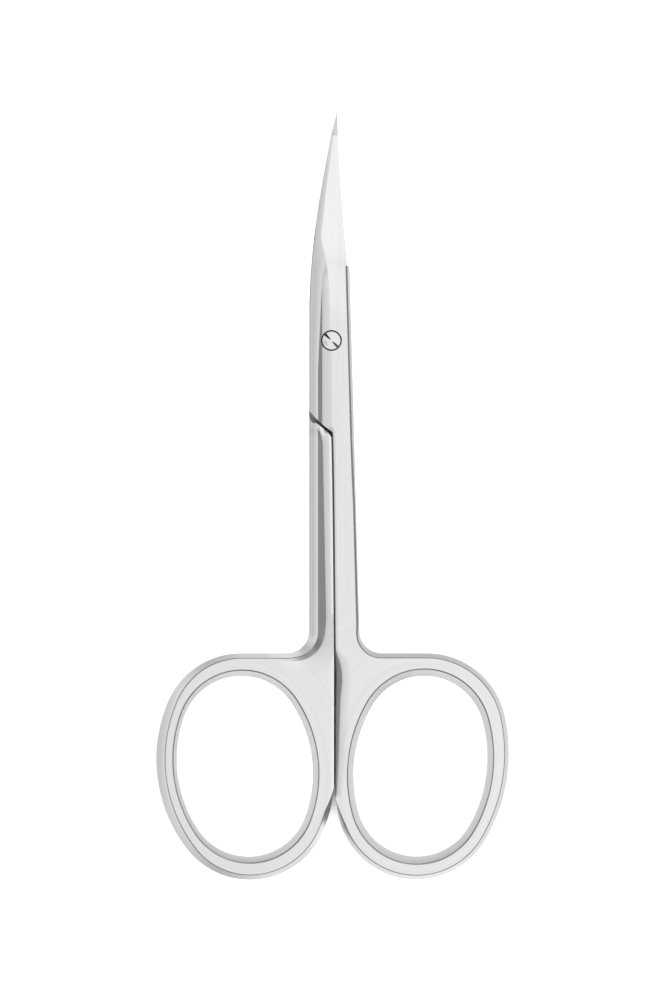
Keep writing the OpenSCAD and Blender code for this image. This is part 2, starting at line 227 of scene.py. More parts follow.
class SCISSORS_PG_grind(bpy.types.PropertyGroup):
    """Bevels and facets that the grinder leaves."""

    wide: length("Wide bevel", "Width of the wide bevel on joint and shank", 1.32)
    wide_ring: length("Wide bevel, ring", "Width of the wide bevel at the ring's side", 1.27)
    wide_end: length("Wide bevel, ends", "Width of the wide bevel at the ring's ends", 0.66)
    steep_slope: tilt("Steep slope", "Slope of the steep band and of the fine edge lines", 34)
    band_fade: tilt("Band fade", "How much less steep the band is at its lower end", 7.5)
    band_joint: length("Band, joint", "Width of the steep band beside the joint", 0.66)
    band_shank: length("Band, shank", "Width of the steep band low on the shank", 1.24)
    band_ring: length("Band, ring", "Width of the fine line round the ring", 0.13)
    band_point: length("Band point", "Length of the point that the band starts with", 1.8)
    band_tail: length("Band tail", "Length along which the band ends round the corner", 9)
    roll: length("Roll", "Width of the rounding beside the band", 0.3)
    crown: length("Crown", "Width of the crowned strip beyond that rounding", 1.0)
    web: length("Web", "How much wider the crowned strip is between shank and ring", 3.0)
    line: length("Dark line", "Width of the fine steep line along the right shank", 0.3)
    strip: length("Light strip", "Width of the strip outside that line, at the joint", 0.33)
    strip_low: length("Light strip, low", "Width of that strip low on the shank", 0.17)
    strip_slope: tilt("Strip slope", "Slope of that strip and of the narrow bevel", 41)
    narrow: length("Narrow bevel", "Width of the narrow bevel round the ring", 0.6)
    finger: length("Finger bevel", "Width of the bevel round each finger opening", 0.8)
    finger_thin: length("Finger bevel, thin", "Its width at the left ring's outer side", 0.48)
    finger_ends: length("Finger bevel, ends", "How much wider it is at the openings' ends", 0.16)
    seam_roll: amount("Seam roll", "How wide the rolled edge beside the seam is, 0 for none", 1.0)
    soft: length("Soft edge", "Width of the small edges at lap and screw", 0.04)
    # The seam's rim is painted dark, as shade
    dull: length("Dull edge", "Width of the grimy edge on each side of the seam", 0.06)
    band_end: length("Band end", "Pivot to where the band along the joint runs out", 10.3)
    band_edge: length("Band edge", "That band's right edge left of the pivot", 1.33)
    bevel_line: length("Bevel line", "Spine bevel's inner line left of the pivot there", 1.3)
    bevel_lean: amount("Bevel line's lean", "Lean of that line, sideways per length", 0.045)
    rim: length("Rim", "Width of the steep edge along the spine beside the heel", 0.12)
    facet_slope: tilt("Facet slope", "Slope of the ground facet near the tip", 22.8)
    heel_lean: tilt("Heel lean", "Lean of the face before the ground facet", 2.6)
    tip_facet: length("Tip facet", "Pivot to where the single facet of the tip starts", 29.8)


class SCISSORS_PG_screw(bpy.types.PropertyGroup):
    """Sizes of the pivot screw and its holes."""

    head_d: length("Head", "Diameter of the slotted head", 2.8)
    head_h: length("Head height", "Height of the head", 0.72)
    head_chamfer: length("Head chamfer", "Chamfer on the head's rim", 0.12)
    head_recess: length("Head recess", "Head's top below the joint's face", 0.03)
    head_dome: length("Head dome", "Rise of the head's middle over its rim", 0.03)
    slot_w: length("Slot width", "Width of the driver slot at the rim", 0.4)
    slot_waist: length("Slot waist", "Width of the worn slot at the middle", 0.1)
    slot_depth: length("Slot depth", "Depth of the driver slot at the rim", 0.45)
    slot_rise: length("Slot rise", "How far the slot's floor rises to the middle", 0.38)
    slot_angle: tilt("Slot angle", "Direction of the driver slot", -45)
    bearing_d: length("Bearing", "Diameter of the smooth bearing", 1.9)
    thread_d: length("Thread", "Diameter of the threaded end", 1.4)
    thread_recess: length("Thread recess", "Threaded end's recess from the back face", 0.1)
    bearing_gap: length("Bearing gap", "Radial clearance on the bearing", 0.05)
    head_gap: length("Head gap", "Radial clearance of the head", 0.11)
    seat_gap: length("Seat gap", "Clearance under the head", 0.03)


class SCISSORS_PG_finish(bpy.types.PropertyGroup):
    """Colours and finish of the steel."""

    steel: colour("Polished steel", "Colour of the polished faces", (0.86, 0.86, 0.86))
    lapped: colour("Lapped steel", "Colour of the ground faces inside the joint", (0.5, 0.5, 0.5))
    roughness: amount("Roughness", "Roughness of the polished faces", 0.17)
    lap_roughness: amount("Lap roughness", "Roughness of the ground faces", 0.38)
    streaks: amount("Streaks", "How much the polishing streaks change the gloss", 0.07)
    grain: length("Grain", "Height of the polishing lines", 0.004)
    # Strength of the painted shade that darkens the gaps, slot, seam's rim and lap's pocket
    grime: amount("Grime", "How dark the oil left in the gaps is", 0.97)


class SCISSORS_PG_studio(bpy.types.PropertyGroup):
    """Floor, light and camera."""

    floor: colour("Floor", "Colour of the floor", (0.93, 0.93, 0.93))
    tent: amount("Light tent", "Strength of the light tent", 1.6, high=5)
    fill: amount("Fill", "Power of the soft light over the floor, in watts", 70.0, high=500)
    distance: length("Camera distance", "Camera to the upper face of the scissors", 600)
    picture: length("Picture height", "Height that the picture takes in", 145.7)
    centre_x: length("Centre across", "Picture's centre right of the pivot", 0.452)
    centre_y: length("Centre along", "Picture's centre above the pivot", -23.24)


def values(group):
    """The group's values, with lengths in millimetres."""
    found = SimpleNamespace()
    for name, prop in type(group).__annotations__.items():
        value = getattr(group, name)
        setattr(found, name, value / MM if prop.keywords.get("unit") == "LENGTH" else value)
    return found


# Arithmetic on numbers and arrays


def mix(a, b, t):
    """Value between a and b, held at both ends."""
    return a + (b - a) * np.clip(t, 0, 1)


def ramp(low, high, value):
    """Even step from 0 at low to 1 at high."""
    return np.clip((value - low) / (high - low), 0, 1)


def smooth(low, high, value):
    """Smooth step from 0 at low to 1 at high."""
    t = ramp(low, high, value)
    return t * t * (3 - 2 * t)


def bow(t):
    """Bow from 0 at both ends to 1 in the middle."""
    return 4 * t * (1 - t)


def steps(low, high, spacing):
    """Evenly spaced values from low to high, both among them."""
    return np.linspace(low, high, max(2, math.ceil(abs(high - low) / spacing) + 1))


def pitch(one, other=0.0, t=0.0):
    """Slope of an angle in degrees, or between two of them."""
    return np.tan(np.radians(mix(one, other, t)))


def flat(start, slope):
    """A facet with one slope, which starts so far in from the edge."""
    return start, slope, slope


def drop(inward, profile):
    """Drop below a face at a distance in from its edge.

    A profile lists the facets from the face outward: how far in each starts, its slope
    there and its slope at its outer line.
    """
    total = 0.0
    ends = [facet[0] for facet in profile[1:]] + [-0.05]
    for (start, first, last), end in zip(profile, ends):
        width = np.maximum(start - end, 1e-4)
        run = np.clip(start - inward, 0, width)
        total = total + first * run + (last - first) * run * run / (2 * width)
    return total


def circle(radius, count=96):
    """Closed curve round the pivot."""
    turns = np.linspace(0, 2 * math.pi, count + 1)
    return np.stack((radius * np.cos(turns), radius * np.sin(turns)), 1)


class Oval:
    """Four-arc oval: two flanks and two round ends, its top tilted outward."""

    def __init__(self, x, y, long, wide, end, lean):
        self.x, self.y = x, y
        self.long, self.wide, self.end, self.lean = long, wide, end, lean
        self.flank = ((long - end) ** 2 + wide**2 - end**2) / (2 * (wide - end))
        self.join = math.atan2(long - end, self.flank - wide)

    def placed(self, across, along):
        """Point of the plane for a place across and along the oval."""
        c, s = math.cos(self.lean), math.sin(self.lean)
        return np.array((self.x + across * c + along * s, self.y - across * s + along * c))

    def inside(self, x, y):
        """Distance in from the oval's edge, below zero outside it."""
        c, s = math.cos(self.lean), math.sin(self.lean)
        across = np.abs((x - self.x) * c - (y - self.y) * s) + self.flank - self.wide
        along = np.abs((x - self.x) * s + (y - self.y) * c)
        flank = self.flank - np.hypot(across, along)
        end = self.end - np.hypot(across - self.flank + self.wide, along - self.long + self.end)
        return np.where(np.arctan2(along, across) < self.join, flank, end)

    def toward(self, x, y):
        """How far the oval's edge faces along x beside a place, from -1 to 1."""
        c, s = math.cos(self.lean), math.sin(self.lean)
        u, v = (x - self.x) * c - (y - self.y) * s, (x - self.x) * s + (y - self.y) * c
        on_flank = np.arctan2(np.abs(v), np.abs(u) + self.flank - self.wide) < self.join
        across = np.abs(u) + np.where(on_flank, self.flank - self.wide, 0)
        along = np.abs(v) + np.where(on_flank, 0, self.end - self.long)
        far = np.maximum(np.hypot(across, along), 1e-6)
        return (np.sign(u) * across * c + np.sign(v) * along * s) / far

    def arc(self, across, along, radius, start, stop):
        """Points of one arc and their directions into the steel."""
        turns = steps(start, stop, FINE / radius)[:-1] - self.lean
        out = np.stack((np.cos(turns), np.sin(turns)), 1)
        return self.placed(across, along) + radius * out, -out

    def run(self, start, stop):
        """Arcs from one angle to another, counted from the right flank's middle."""
        a, half = self.join, math.pi
        reach = self.wide - self.flank
        rise = self.long - self.end
        found = []
        for turn in (-1, 0, 1):
            base = 2 * half * turn
            for across, along, radius, low, high in (
                (reach, 0, self.flank, -a, a),
                (0, rise, self.end, a, half - a),
                (-reach, 0, self.flank, half - a, half + a),
                (0, -rise, self.end, half + a, 2 * half - a),
            ):
                low, high = max(start, low + base), min(stop, high + base)
                if high - low > 1e-6:
                    found.append(self.arc(across, along, radius, low, high))
        return joined(found)


def joined(parts):
    """Several stretches of an edge as one: points and directions into the steel."""
    return np.concatenate([p for p, _ in parts]), np.concatenate([n for _, n in parts])


def straight(xs, ys, inward):
    """Stretch of an edge with one direction into the steel."""
    points = np.stack(np.broadcast_arrays(xs, ys), 1).astype(float)
    return points, np.broadcast_to(np.array(inward, float), points.shape)


class Half:
    """One half in its own frame: spine left, ring right, outer face up, in millimetres."""

    def __init__(self, size, grind, screw, near):
        self.s, self.g, self.screw, self.near = size, grind, screw, near
        self.sign = 1 if near else -1
        sides = (size.left_side, 0.0, size.right_side, size.right_flare)
        if not near:
            sides = sides[2:] + sides[:2]
        self.spine_x, self.spine_flare, self.ring_x, self.ring_flare = sides
        hand = "right" if near else "left"
        out, wide, band, shift, lean, rim_lean = (
            getattr(size, f"{hand}_{word}")
            for word in ("out", "wide", "band", "shift", "tilt", "rim_tilt")
        )
        x = size.ring_x + self.sign * size.seam_low + out
        long, end = size.open_long, size.open_end
        self.opening = Oval(x, -size.ring_y, long, wide, end, lean)
        self.rim = Oval(
            x + shift,
            -size.ring_y,
            long + size.end_band,
            wide + band,
            end + size.end_growth,
            rim_lean,
        )
        self.lap_z = (size.thickness + size.lap_gap) / 2
        self.lap_h = size.thickness - self.lap_z
        self.tip = size.blade_reach - (0 if near else size.far_short)
        self.head_hole = screw.head_d / 2 + screw.head_gap
        self.top_x, self.rim_top = self.rim.placed(0, self.rim.long - self.rim.end)
        self.rim_top += self.rim.end
        self.corner_y = self.rim_top + size.fillet
        self.corner_x = self.ring_side(self.corner_y) + size.fillet
        flank_x = self.rim.placed(self.rim.flank - self.rim.wide, 0)[0]
        across = (flank_x - self.seam(-size.seam_bend)) / self.rim.flank
        self.parting_turn = math.pi + self.rim.lean + math.acos(min(1, across))
        self.parting = self.rim.run(self.parting_turn, self.parting_turn + 0.1)[0][0]

    # Straight edges

    def ring_side(self, y):
        return self.ring_x - self.ring_flare * y

    def seam(self, y):
        s = self.s
        run = ramp(s.shoulder_inner, s.seam_bend, -y) ** s.seam_curve
        return self.sign * mix(s.seam_top, s.seam_low, run) + s.seam_gap / 2

    # Outlines of the blade: the back one is the front one turned over and drawn in

    def near_edge(self, y):
        s = self.s
        run = ramp(s.heel, s.blade_reach, y)
        return mix(s.heel_side, s.tip_side, run) - s.edge_bow * bow(run)

    def near_spine(self, y):
        s = self.s
        run = np.clip(y, s.spine_start, s.spine_end) - s.spine_start
        depth = np.sqrt(s.spine_radius**2 - run**2)
        whole = s.spine_end - s.spine_start
        slope = whole / math.sqrt(s.spine_radius**2 - whole**2)
        plain = s.spine_radius - s.left_side - depth + slope * np.maximum(y - s.spine_end, 0)
        closing = ramp(s.blade_reach - s.tip_run, s.blade_reach, y)
        return mix(plain, self.near_edge(y) - s.tip_width, closing**2)

    def spine(self, y):
        """Left edge of joint and blade."""
        s = self.s
        if self.near:
            return self.near_spine(y)
        drawn_in = s.blade_inset - self.near_edge(y)
        turn = ramp(s.heel - SPINE_TURN, s.heel, y)
        return mix(-self.spine_x + self.spine_flare * y, drawn_in, turn)

    def edge(self, y):
        """Right edge of shank, joint and blade."""
        if self.near:
            return np.where(y > self.s.heel, self.near_edge(y), self.ring_side(y))
        return -self.near_spine(y) - np.where(y > self.s.heel, self.s.blade_inset, 0)

    def rise(self, x, y):
        """Height that the lapped face gains away from the pivot."""
        s = self.s
        run = np.maximum(np.hypot(x, y) - s.rise_start, 0)
        lift = s.rise_radius - np.sqrt(s.rise_radius**2 - run**2)
        return self.sign * np.where(y < BLADE_ROOT, 0, lift)

    def heel_line(self, x):
        """Line at which the ground facet starts, slanting up to the left."""
        return self.s.heel + np.clip(HEEL_SLANT * (HEEL_SLANT_START - x), 0, HEEL_SLANT_RISE)

    # Facets of the outer face

    def crest(self, y):
        """Height of the outer face over the lapped one, before any facet."""
        s, g = self.s, self.g
        plain = mix(self.lap_h, s.tip_thickness, ramp(s.heel, s.blade_reach, y))
        facet = (s.blade_reach - np.minimum(y, g.tip_facet)) * s.facet_taper
        thin = s.edge_flat + facet * math.tan(g.facet_slope)
        return np.where(y > s.heel, np.minimum(plain, thin), plain)

    def ridge_width(self, y):
        """From the spine in to the crown's inner line, and past the heel to the ridge."""
        s = self.s
        facet = np.minimum(s.facet_width, (s.blade_reach - y) * s.facet_taper)
        ground = self.near_edge(y) - facet
        line = np.interp(y, *RIDGE_LINE)
        found = mix(line, ground, ramp(*RIDGE_TURN, y)) - self.near_spine(y)
        whole = self.edge(y) - self.spine(y)
        return np.where(y > self.g.tip_facet, whole, np.minimum(found, 0.8 * whole))

    def wide_facets(self, wide, other, share, tuck=0.0):
        """Facets of the wide bevel, between the shank's slopes and others.

        They are steep where the rings part.
        """
        steep = math.degrees(self.g.steep_slope)
        slopes = [pitch(mix(a, b, share), steep, tuck) for a, b in zip(SHANK_FACETS, other)]
        return [flat(start * wide, slope) for start, slope in zip(FACET_STARTS, slopes)]

    def spine_profile(self, y):
        """Facets beside the spine: crown, rounding, steep band, wide bevel and rim."""
        g = self.g
        steep = math.tan(g.steep_slope)
        ridge, spine = self.ridge_width(y), self.near_spine(y)
        line = -g.bevel_line - g.bevel_lean * (g.band_end - y)
        line = np.maximum(line, g.wide - self.s.left_side)
        wide = np.minimum(line - spine, 0.75 * ridge)
        right = np.minimum(-g.band_edge - spine, wide + g.band_joint)
        band = np.where(y > g.band_end, wide, np.maximum(wide, right))
        rolled = band + np.minimum(g.roll, 0.3 * (ridge - band))
        middle = np.maximum(ridge - 0.35, (ridge + rolled) / 2)
        blade = ramp(*SLOPE_TURN, y)
        crown = [pitch(a, b, blade) for a, b in zip(JOINT_CROWN, BLADE_CROWN)]
        return [
            (ridge, *crown[0:2]),
            (middle, *crown[1:3]),
            (rolled, *crown[3:5]),
            flat(band, steep),
            *self.wide_facets(wide, BLADE_FACETS, blade),
            flat(g.rim * smooth(*RIM_START, y) * (1 - smooth(*RIM_END, y)), steep),
        ]

    def narrow_profile(self, station, aim, tuck):
        """Narrow bevel of the outer face: a fine steep line and the light strip outside it."""
        g = self.g
        ring = 1 - smooth(-4, 1.5, station - self.corner_y)
        strip = mix(mix(g.strip, g.strip_low, ramp(*STRIP_RUN, -station)), g.narrow, ring)
        line = mix(g.line, g.band_ring, ring)
        slope = math.degrees(g.strip_slope)
        return [
            flat(strip + line, math.tan(g.steep_slope)),
            (strip, pitch(slope, TUCKED_STRIP, tuck), pitch(slope)),
        ]

    def wide_profile(self, station, aim, tuck):
        """Wide bevel of the back: crown, rounding, steep band and facets."""
        g = self.g
        above = station - self.corner_y
        high = -self.s.shoulder_inner - self.corner_y
        ring = 1 - smooth(-5, 1, above)
        web = smooth(-8, -2, above) * (1 - smooth(-1, 4, above))
        full = mix(g.band_shank, g.band_joint, ramp(0, high + 0.1, above))
        start = (1 - ramp(high + 0.5 - g.band_point, high + 0.5, above)) ** 0.7
        tail = 1 - ramp(1.5 - g.band_tail, 1.5, above)
        side = mix(g.wide_end, g.wide_ring, np.clip(aim, 0, 1) ** 2)
        wide = mix(g.wide, side, ring)
        soft = np.maximum(1 - ring, web)
        line = wide + g.band_ring * ring
        band = line + full * start * (1 - tail)
        rolled = band + g.roll * soft * start
        crown = [pitch(slope) * soft for slope in SHANK_CROWN]
        steep = math.degrees(g.steep_slope)
        return [
            (rolled + g.crown * (1 - ring) + g.web * web, *crown[0:2]),
            (rolled, *crown[1:3]),
            flat(band, pitch(steep, steep - math.degrees(g.band_fade), tail)),
            flat(line, pitch(steep)),
            *self.wide_facets(wide, RING_FACETS, ring, tuck),
        ]

    def finger_profile(self, aim):
        """Bevel round the finger opening, by how far the opening's edge faces outward."""
        g = self.g
        outer = g.finger if self.near else g.finger_thin
        width = mix(g.finger, outer, (aim + 1) / 2) + g.finger_ends * (1 - aim**2)
        line = flat(width + FINGER_LINE * g.band_ring, math.tan(g.steep_slope))
        return [line, (width, *(pitch(slope) for slope in FINGER_SLOPES))]

    def seam_roll(self, y):
        """Width of the rolled edge that the front half has beside the seam."""
        return np.interp(y, *SEAM_ROLL) * (self.g.seam_roll if self.near else 0)

    def seam_profile(self, y):
        """Edge beside the seam: slight crown, rolled edge and a rim that is painted dark as shade.
        """
        dull, roll = self.g.dull, self.seam_roll(y)
        grown = ramp(0, SEAM_ROLL_FULL, roll)
        return [
            (0.45 + roll + 1.1 * grown, 0, pitch(7, 4, grown)),
            (dull + roll + 0.3 * grown, pitch(4), pitch(11)),
            (dull + roll, pitch(7, 20, grown), pitch(7, 24, grown)),
            flat(dull, pitch(PAINTED_RIM_SLOPE)),
        ]

    def soft_profile(self):
        return [flat(self.g.soft, pitch(SOFT_SLOPE))]

    # Distances in from the edges

    def outer(self, x, y):
        """Distance in from the ring side's edge, place along it and how far it faces out."""
        across, along = self.corner_x - x, self.corner_y - y
        reach = np.maximum(np.hypot(across, along), 1e-6)
        turn = np.clip(np.arctan2(along, across), 0, math.pi / 2)
        on_shank = y > self.corner_y
        on_web = (x < self.top_x) & (y > self.parting[1])
        in_corner = x < self.corner_x
        fillet = self.s.fillet
        web = np.where(in_corner, reach - fillet, self.rim_top - y)
        away = np.where(in_corner, fillet * turn, fillet * math.pi / 2 - across)
        facing = np.where(in_corner, across / reach, 0)
        inward = np.where(on_web, web, self.rim.inside(x, y))
        station = self.corner_y - np.where(on_web, away, RING_STATION)
        aim = np.where(on_web, facing, self.rim.toward(x, y))
        return (
            np.where(on_shank, self.edge(y) - x, inward),
            np.where(on_shank, y, station),
            np.where(on_shank, 1, aim),
        )

    def growth(self, x, y):
        """How far the outer bevels have grown from where the rings part, and how steep they are."""
        run = np.hypot(x - self.parting[0], y - self.parting[1])
        return np.clip(run / BEVEL_GROWTH, 1e-4, 1), 1 - smooth(*TUCK_RUN, run)

    def bevel(self, x, y, profile):
        """Drop of the ring side's outer bevel."""
        inward, station, aim = self.outer(x, y)
        share, tuck = self.growth(x, y)
        return share * drop(inward / share, profile(station, aim, tuck))

    def spine_end_x(self):
        return float(self.spine(np.array(-self.s.shoulder_outer)))

    def from_seam(self, x, y):
        """Distance in from the shoulder's diagonal and from the seam below it."""
        s = self.s
        start = np.array((self.spine_end_x(), -s.shoulder_outer))
        run = np.array((self.seam(-s.shoulder_inner), -s.shoulder_inner)) - start
        whole = np.hypot(*run)
        run /= whole
        shoulder = (y - start[1]) * run[0] - (x - start[0]) * run[1]
        along = ((x - start[0]) * run[0] + (y - start[1]) * run[1]) / whole
        shoulder = shoulder + s.shoulder_bow * bow(np.clip(along, 0, 1))
        found = np.where(y > -s.shoulder_inner, shoulder, x - self.seam(y))
        return np.where((y < 0) & (y > self.parting[1]), found, FAR)

    def shoulder_border(self):
        """Border of the lapped face on the ring's shank, as places across and along."""
        s = self.s
        far = self.ring_side(-s.shoulder_outer)
        near = self.seam(-s.shoulder_inner)
        low = -s.shoulder_inner - 1.3
        high = -s.shoulder_outer - 0.75
        pocket_x, pocket_y = POCKET
        points = (
            (-far - 1, low),
            (near - 0.15, low + 0.1),
            (near + 0.1, low + 0.8),
            (near + 0.4, low + 1.1),
            (near + 0.75, low + 1.45),
            (pocket_x, pocket_y),
            (pocket_x + 0.26, pocket_y + 0.15),
            (pocket_x + 0.81, pocket_y + 0.25),
            (far - 0.23, high - 0.7),
            (far - 0.1, high - 0.25),
            (far, high),
            (far + 1, high),
        )
        return tuple(zip(*points))

    def above_border(self, x, y):
        """Distance along from the border of the lapped face."""
        return y - np.interp(x, *self.shoulder_border())

    # Heights of the four faces

    def top(self, x, y, zone):
        s, g, screw = self.s, self.g, self.screw
        if zone == 1:
            return s.thickness - screw.head_recess - screw.head_h - screw.seat_gap + 0 * x
        face = self.crest(y)
        spine = drop(x - self.spine(y), self.spine_profile(y))
        spine = np.where(y < -s.shoulder_inner, 0, spine)
        edge = np.where(y > s.heel, 0, self.bevel(x, y, self.narrow_profile))
        aim = self.opening.toward(x, y)
        finger = drop(-self.opening.inside(x, y), self.finger_profile(aim))
        seam = drop(self.from_seam(x, y), self.seam_profile(y))
        ridge = self.spine(y) + self.ridge_width(y)
        across = (x - ridge) / np.maximum(self.edge(y) - ridge, 0.05)
        ground = np.clip(across, 0, 1) * (face - s.edge_flat)
        before_heel = (y > 0) & (y <= self.heel_line(x))
        tilted = math.tan(g.heel_lean) * smooth(1.5, 7, y) * np.maximum(x - ridge, 0)
        on_facet = (y > self.heel_line(x)) & (y < g.tip_facet)
        total = np.maximum(np.maximum(spine, edge), np.maximum(finger, seam))
        total = np.maximum(total, np.where(on_facet, ground, 0)) + np.where(before_heel, tilted, 0)
        if self.near:
            from_hole = np.hypot(x, y) - self.head_hole
            total = np.maximum(total, drop(from_hole, self.soft_profile()))
        return self.lap_z + self.rise(x, y) + np.maximum(face - total, THINNEST)

    def top_zone(self, x, y):
        in_hole = np.hypot(x, y) < self.head_hole
        return in_hole.astype(int) if self.near else np.zeros(len(x), int)

    def bottom(self, x, y, zone):
        if zone == 1:
            return self.lap_z + self.rise(x, y)
        wide = self.bevel(x, y, self.wide_profile)
        aim = self.opening.toward(x, y)
        finger = drop(-self.opening.inside(x, y), self.finger_profile(aim))
        seam = drop(self.from_seam(x, y), self.seam_profile(y))
        border = drop(-0.8 * self.above_border(x, y), self.soft_profile())
        return np.maximum(np.maximum(wide, finger), np.maximum(seam, border))

    def bottom_zone(self, x, y):
        return (self.above_border(x, y) > 0).astype(int)

    # Painted shade in the gaps, from 0 to 1: black on the seam's rim and under the screw head,
    # darker on the rolled edge and in the lap's pocket

    def grime(self, side, zone, x, y):
        beside = np.where(y < -self.s.shoulder_inner - 0.2, self.from_seam(x, y), FAR)
        if side == "top":
            roll = self.seam_roll(y)
            on_roll = (beside < self.g.dull + roll) & (roll > 0)
            rolled = np.where(on_roll, ROLL_PAINTED_SHADE, float(zone))
            return np.where(beside < self.g.dull, 1.0, rolled)
        if zone == 0:
            return (beside < self.g.dull).astype(float)
        # Painted shade in the lap's pocket below the shoulder
        pocket = mix(*POCKET_PAINTED_SHADE, ramp(1.7, 2.4, x))
        return pocket * (1 - smooth(0.8, 2.2, self.above_border(x, y)))

    def wall_grime(self, x, y):
        """Painted shade on the walls at the lap's border, along the seam and in the screw's holes.
        """
        at_border = np.abs(self.above_border(x, y)) < 0.05
        in_gap = (self.from_seam(x, y) < 0.05) | (np.hypot(x, y) < 1.7)
        return (at_border | in_gap).astype(float)

    # Curves that the faces are cut along

    def ring_edge(self):
        """Outer edge from the parting round the rim and up the shank to the heel."""
        s = self.s
        rim = self.rim.run(self.parting_turn, 2.5 * math.pi + self.rim.lean)
        web = straight(steps(self.top_x, self.corner_x, FINE)[:-1], self.rim_top, (0, -1))
        turns = steps(-math.pi / 2, -math.pi, FINE / s.fillet)
        into = np.stack((np.cos(turns), np.sin(turns)), 1)
        centre = np.array((self.corner_x, self.corner_y))
        ys = steps(self.corner_y, s.heel - BREAK, COARSE)[1:]
        shank = straight(self.edge(ys), ys, (-1, 0))
        return joined([rim, web, (centre + s.fillet * into, into), shank])

    def blade_rows(self):
        """Places along joint and blade, with a break at the heel and at the tip's facet."""
        heel, tip_facet = self.s.heel, self.g.tip_facet
        joint = steps(-self.s.shoulder_inner - 1, heel - BREAK, COARSE)
        blade = steps(heel + BREAK, tip_facet - BREAK, 0.7)
        tip = steps(tip_facet + BREAK, self.tip, 0.35)
        return np.concatenate([joint, blade, tip])

    def outline(self):
        s = self.s
        ring, _ = self.ring_edge()
        ys = self.blade_rows()
        blade = ys[ys > s.heel]
        right = np.stack((self.edge(blade), blade), 1)
        down = ys[ys > -s.shoulder_outer][::-1]
        left = np.stack((self.spine(down), down), 1)
        low = steps(-s.shoulder_inner, self.parting[1], COARSE)[:-1]
        seam = np.stack((self.seam(low), low), 1)
        corner = np.array((self.spine_end_x(), -s.shoulder_outer))
        run = seam[0] - corner
        out = np.array((run[1], -run[0])) / np.hypot(*run)
        ts = np.linspace(0, 1, 9)[:-1, None]
        shoulder = corner + run * ts + out * s.shoulder_bow * bow(ts)
        return np.concatenate([ring, right, left, shoulder, seam])

    def curves(self):
        s, g, screw = self.s, self.g, self.screw
        found = []
        points, inward = self.ring_edge()
        x, y = points.T
        _, station, aim = self.outer(x, y)
        share, tuck = self.growth(x, y)
        for profile in (self.narrow_profile, self.wide_profile):
            for start, _, _ in profile(station, aim, tuck):
                found.append(points + inward * (start * share)[:, None])
        opening, into = self.opening.run(0, 2 * math.pi)
        found.append(np.concatenate([opening, opening[:1]]))
        for start, _, _ in self.finger_profile(-into[:, 0]):
            curve = opening - into * np.broadcast_to(start, len(into))[:, None]
            found.append(np.concatenate([curve, curve[:1]]))
        ys = self.blade_rows()
        for start, _, _ in self.spine_profile(ys):
            found.append(np.stack((self.spine(ys) + start, ys), 1))
        ground = ys[(ys > s.heel + 0.5) & (ys < g.tip_facet)]
        for t in (0.33, 0.66):
            left = self.spine(ground) + self.ridge_width(ground)
            found.append(np.stack((mix(left, self.edge(ground), t), ground), 1))
        reach = 4.0
        xs = steps(-reach, reach, COARSE)
        for side in (-BREAK, BREAK):
            found.append(np.stack((xs, self.heel_line(xs) + side), 1))
            found.append(np.array(((-reach, g.tip_facet + side), (reach, g.tip_facet + side))))
        found.append(np.array(((-reach, BLADE_ROOT), (reach, BLADE_ROOT))))
        found.append(np.stack(self.shoulder_border(), 1))
        low = steps(-s.shoulder_inner, self.parting[1] - 1, COARSE)
        for start, _, _ in self.seam_profile(low):
            found.append(np.stack((self.seam(low) + start, low), 1))
        holes = [screw.thread_d / 2]
        if self.near:
            holes = [screw.bearing_d / 2 + screw.bearing_gap, self.head_hole]
            holes += [self.head_hole + start for start, _, _ in self.soft_profile()]
        found.extend(circle(radius) for radius in holes)
        self.bore = holes[0]
        return found

    def kept(self, x, y):
        """Which places are steel."""
        steel = within(self.outline(), x, y) & (self.opening.inside(x, y) < 0)
        return steel & (np.hypot(x, y) > self.bore)

    def across(self, x, y):
        """Measure across the polishing lines: straight on the shank, concentric on the ring."""
        ring = 1 - smooth(self.corner_y - 5, self.corner_y + 4, y)
        return x * (1 - ring) - self.opening.inside(x, y) * ring

    def placed(self, points, turned):
        """The back half is turned over about the length of the scissors."""
        if self.near:
            return points
        points = points * np.array((-1, 1, -1))
        return points if turned else points + np.array((0, 0, self.s.thickness))


def within(outline, x, y):
    """Which places lie inside a closed outline."""
    found = np.zeros(len(x), bool)
    after = np.roll(outline, -1, 0)
    for (ax, ay), (bx, by) in zip(outline, after):
        if ay != by:
            crosses = (ay > y) != (by > y)
            found ^= crosses & (x < ax + (y - ay) * (bx - ax) / (by - ay))
    return found


